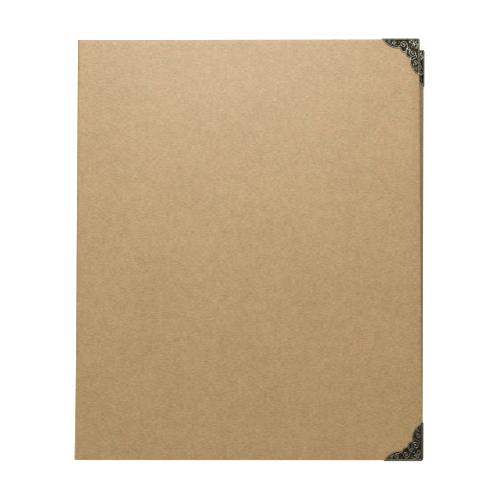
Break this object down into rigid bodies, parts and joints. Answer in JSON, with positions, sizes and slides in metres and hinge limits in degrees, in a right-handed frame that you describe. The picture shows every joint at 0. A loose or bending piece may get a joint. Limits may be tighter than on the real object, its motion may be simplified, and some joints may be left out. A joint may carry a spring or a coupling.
{
  "type": "scrapbook album",
  "caption": "Case-bound scrapbook album with stamped corner guards, a ring mechanism on the back cover and punched card leaves that turn.",
  "frame": {"origin": "under the middle of the closed album, on the plane that its lowest guards and rivet flanges lie on", "axes": "+X from the spine to the fore-edge, +Y from the tail to the head, +Z from the back cover up to the front cover"},
  "size_m": [0.232, 0.2786, 0.035],
  "materials": {
    "kraft_paper": "uncoated brown kraft wrap with visible fibres",
    "grey_board": "raw grey book board",
    "black_liner": "matt black endpaper",
    "black_card": "matt black card",
    "antique_bronze": "antique bronze plating, dark in the recesses and rubbed on the raised scrolls",
    "plated_steel": "nickel-plated steel"
  },
  "bodies": {
    "back_cover": {"back_board": "grey_board", "back_wrap": "kraft_paper", "back_liner": "black_liner", "back_guard_head": "antique_bronze", "back_guard_tail": "antique_bronze", "ring_plate": "plated_steel", "rivet_head": "plated_steel", "rivet_tail": "plated_steel"},
    "spine": {"spine_board": "grey_board", "spine_wrap": "kraft_paper", "spine_liner": "black_liner", "back_joint_outer": "kraft_paper", "back_joint_inner": "black_liner", "front_joint_outer": "kraft_paper", "front_joint_inner": "black_liner"},
    "front_cover": {"front_board": "grey_board", "front_wrap": "kraft_paper", "front_liner": "black_liner", "front_guard_head": "antique_bronze", "front_guard_tail": "antique_bronze"},
    "left_rings": {"blade_left": "plated_steel", "ring_left_tail": "plated_steel", "ring_left_middle": "plated_steel", "ring_left_head": "plated_steel"},
    "right_rings": {"blade_right": "plated_steel", "ring_right_tail": "plated_steel", "ring_right_middle": "plated_steel", "ring_right_head": "plated_steel"},
    "tail_lever": {"lever_tail": "plated_steel"},
    "head_lever": {"lever_head": "plated_steel"},
    "leaf_01": {"leaf_01": "black_card"},
    "leaf_02": {"leaf_02": "black_card"},
    "leaf_03": {"leaf_03": "black_card"},
    "leaf_04": {"leaf_04": "black_card"},
    "leaf_05": {"leaf_05": "black_card"},
    "leaf_06": {"leaf_06": "black_card"},
    "leaf_07": {"leaf_07": "black_card"},
    "leaf_08": {"leaf_08": "black_card"},
    "leaf_09": {"leaf_09": "black_card"},
    "leaf_10": {"leaf_10": "black_card"},
    "leaf_11": {"leaf_11": "black_card"},
    "leaf_12": {"leaf_12": "black_card"},
    "leaf_13": {"leaf_13": "black_card"},
    "leaf_14": {"leaf_14": "black_card"},
    "leaf_15": {"leaf_15": "black_card"},
    "leaf_16": {"leaf_16": "black_card"}
  },
  "joints": [
    {"name": "back_hinge", "type": "hinge", "parent": "back_cover", "child": "spine", "pos_m": [-0.10807, -0.00111, 0.0019], "axis": [0, -1, 0], "range_deg": [0, 80.54]},
    {"name": "front_hinge", "type": "hinge", "parent": "spine", "child": "front_cover", "pos_m": [-0.11327, -0.00111, 0.0331], "axis": [0.0099, -1, 0], "range_deg": [0, 99.46]},
    {"name": "ring_open", "type": "hinge", "parent": "back_cover", "child": "right_rings", "pos_m": [-0.08017, -0.00111, 0.0052], "axis": [0, 1, 0], "range_deg": [0, 8.5]},
    {"name": "left_ring_open", "type": "hinge", "parent": "back_cover", "child": "left_rings", "pos_m": [-0.09997, -0.00111, 0.0052], "axis": [0, -1, 0], "range_deg": [0, 8.5]},
    {"name": "tail_lever_press", "type": "hinge", "parent": "back_cover", "child": "tail_lever", "pos_m": [-0.09007, -0.11961, 0.0058], "axis": [1, 0, 0], "range_deg": [0, 22.1]},
    {"name": "head_lever_press", "type": "hinge", "parent": "back_cover", "child": "head_lever", "pos_m": [-0.09007, 0.11739, 0.0058], "axis": [-1, 0, 0], "range_deg": [0, 22.1]},
    {"name": "leaf_01_turn", "type": "hinge", "parent": "back_cover", "child": "leaf_01", "pos_m": [-0.09007, -0.00111, 0.0163], "axis": [0, -1, 0], "range_deg": [0, 183.6]},
    {"name": "leaf_02_turn", "type": "hinge", "parent": "back_cover", "child": "leaf_02", "pos_m": [-0.09007, -0.00111, 0.0163], "axis": [0, -1, 0], "range_deg": [0, 183.6]},
    {"name": "leaf_03_turn", "type": "hinge", "parent": "back_cover", "child": "leaf_03", "pos_m": [-0.09007, -0.00111, 0.0163], "axis": [0, -1, 0], "range_deg": [0, 183.6]},
    {"name": "leaf_04_turn", "type": "hinge", "parent": "back_cover", "child": "leaf_04", "pos_m": [-0.09007, -0.00111, 0.0163], "axis": [0, -1, 0], "range_deg": [0, 183.6]},
    {"name": "leaf_05_turn", "type": "hinge", "parent": "back_cover", "child": "leaf_05", "pos_m": [-0.09007, -0.00111, 0.0163], "axis": [0, -1, 0], "range_deg": [0, 183.6]},
    {"name": "leaf_06_turn", "type": "hinge", "parent": "back_cover", "child": "leaf_06", "pos_m": [-0.09007, -0.00111, 0.0163], "axis": [0, -1, 0], "range_deg": [0, 183.6]},
    {"name": "leaf_07_turn", "type": "hinge", "parent": "back_cover", "child": "leaf_07", "pos_m": [-0.09007, -0.00111, 0.0163], "axis": [0, -1, 0], "range_deg": [0, 183.6]},
    {"name": "leaf_08_turn", "type": "hinge", "parent": "back_cover", "child": "leaf_08", "pos_m": [-0.09007, -0.00111, 0.0163], "axis": [0, -1, 0], "range_deg": [0, 183.6]},
    {"name": "leaf_09_turn", "type": "hinge", "parent": "back_cover", "child": "leaf_09", "pos_m": [-0.09007, -0.00111, 0.0163], "axis": [0, -1, 0], "range_deg": [0, 183.6]},
    {"name": "leaf_10_turn", "type": "hinge", "parent": "back_cover", "child": "leaf_10", "pos_m": [-0.09007, -0.00111, 0.0163], "axis": [0, -1, 0], "range_deg": [0, 183.6]},
    {"name": "leaf_11_turn", "type": "hinge", "parent": "back_cover", "child": "leaf_11", "pos_m": [-0.09007, -0.00111, 0.0163], "axis": [0, -1, 0], "range_deg": [0, 183.6]},
    {"name": "leaf_12_turn", "type": "hinge", "parent": "back_cover", "child": "leaf_12", "pos_m": [-0.09007, -0.00111, 0.0163], "axis": [0, -1, 0], "range_deg": [0, 183.6]},
    {"name": "leaf_13_turn", "type": "hinge", "parent": "back_cover", "child": "leaf_13", "pos_m": [-0.09007, -0.00111, 0.0163], "axis": [0, -1, 0], "range_deg": [0, 183.6]},
    {"name": "leaf_14_turn", "type": "hinge", "parent": "back_cover", "child": "leaf_14", "pos_m": [-0.09007, -0.00111, 0.0163], "axis": [0, -1, 0], "range_deg": [0, 183.6]},
    {"name": "leaf_15_turn", "type": "hinge", "parent": "back_cover", "child": "leaf_15", "pos_m": [-0.09007, -0.00111, 0.0163], "axis": [0, -1, 0], "range_deg": [0, 183.6]},
    {"name": "leaf_16_turn", "type": "hinge", "parent": "back_cover", "child": "leaf_16", "pos_m": [-0.09007, -0.00111, 0.0163], "axis": [0, -1, 0], "range_deg": [0, 183.6]}
  ],
  "couplings": [
    {"joint": "front_hinge", "follows": "back_hinge", "ratio": 1.2349},
    {"joint": "left_ring_open", "follows": "ring_open", "ratio": 1},
    {"joint": "tail_lever_press", "follows": "ring_open", "ratio": 2.6},
    {"joint": "head_lever_press", "follows": "ring_open", "ratio": 2.6},
    {"joint": "leaf_01_turn", "follows": "back_hinge", "ratio": 0.00185},
    {"joint": "leaf_02_turn", "follows": "back_hinge", "ratio": 0.00371},
    {"joint": "leaf_03_turn", "follows": "back_hinge", "ratio": 0.00558},
    {"joint": "leaf_04_turn", "follows": "back_hinge", "ratio": 0.00744},
    {"joint": "leaf_05_turn", "follows": "back_hinge", "ratio": 0.0093},
    {"joint": "leaf_06_turn", "follows": "back_hinge", "ratio": 0.01116},
    {"joint": "leaf_07_turn", "follows": "back_hinge", "ratio": 0.01303},
    {"joint": "leaf_08_turn", "follows": "back_hinge", "ratio": 0.01489},
    {"joint": "leaf_09_turn", "follows": "back_hinge", "ratio": 2.2623},
    {"joint": "leaf_10_turn", "follows": "back_hinge", "ratio": 2.2648},
    {"joint": "leaf_11_turn", "follows": "back_hinge", "ratio": 2.2672},
    {"joint": "leaf_12_turn", "follows": "back_hinge", "ratio": 2.2697},
    {"joint": "leaf_13_turn", "follows": "back_hinge", "ratio": 2.2722},
    {"joint": "leaf_14_turn", "follows": "back_hinge", "ratio": 2.2747},
    {"joint": "leaf_15_turn", "follows": "back_hinge", "ratio": 2.2772},
    {"joint": "leaf_16_turn", "follows": "back_hinge", "ratio": 2.2797}
  ]
}
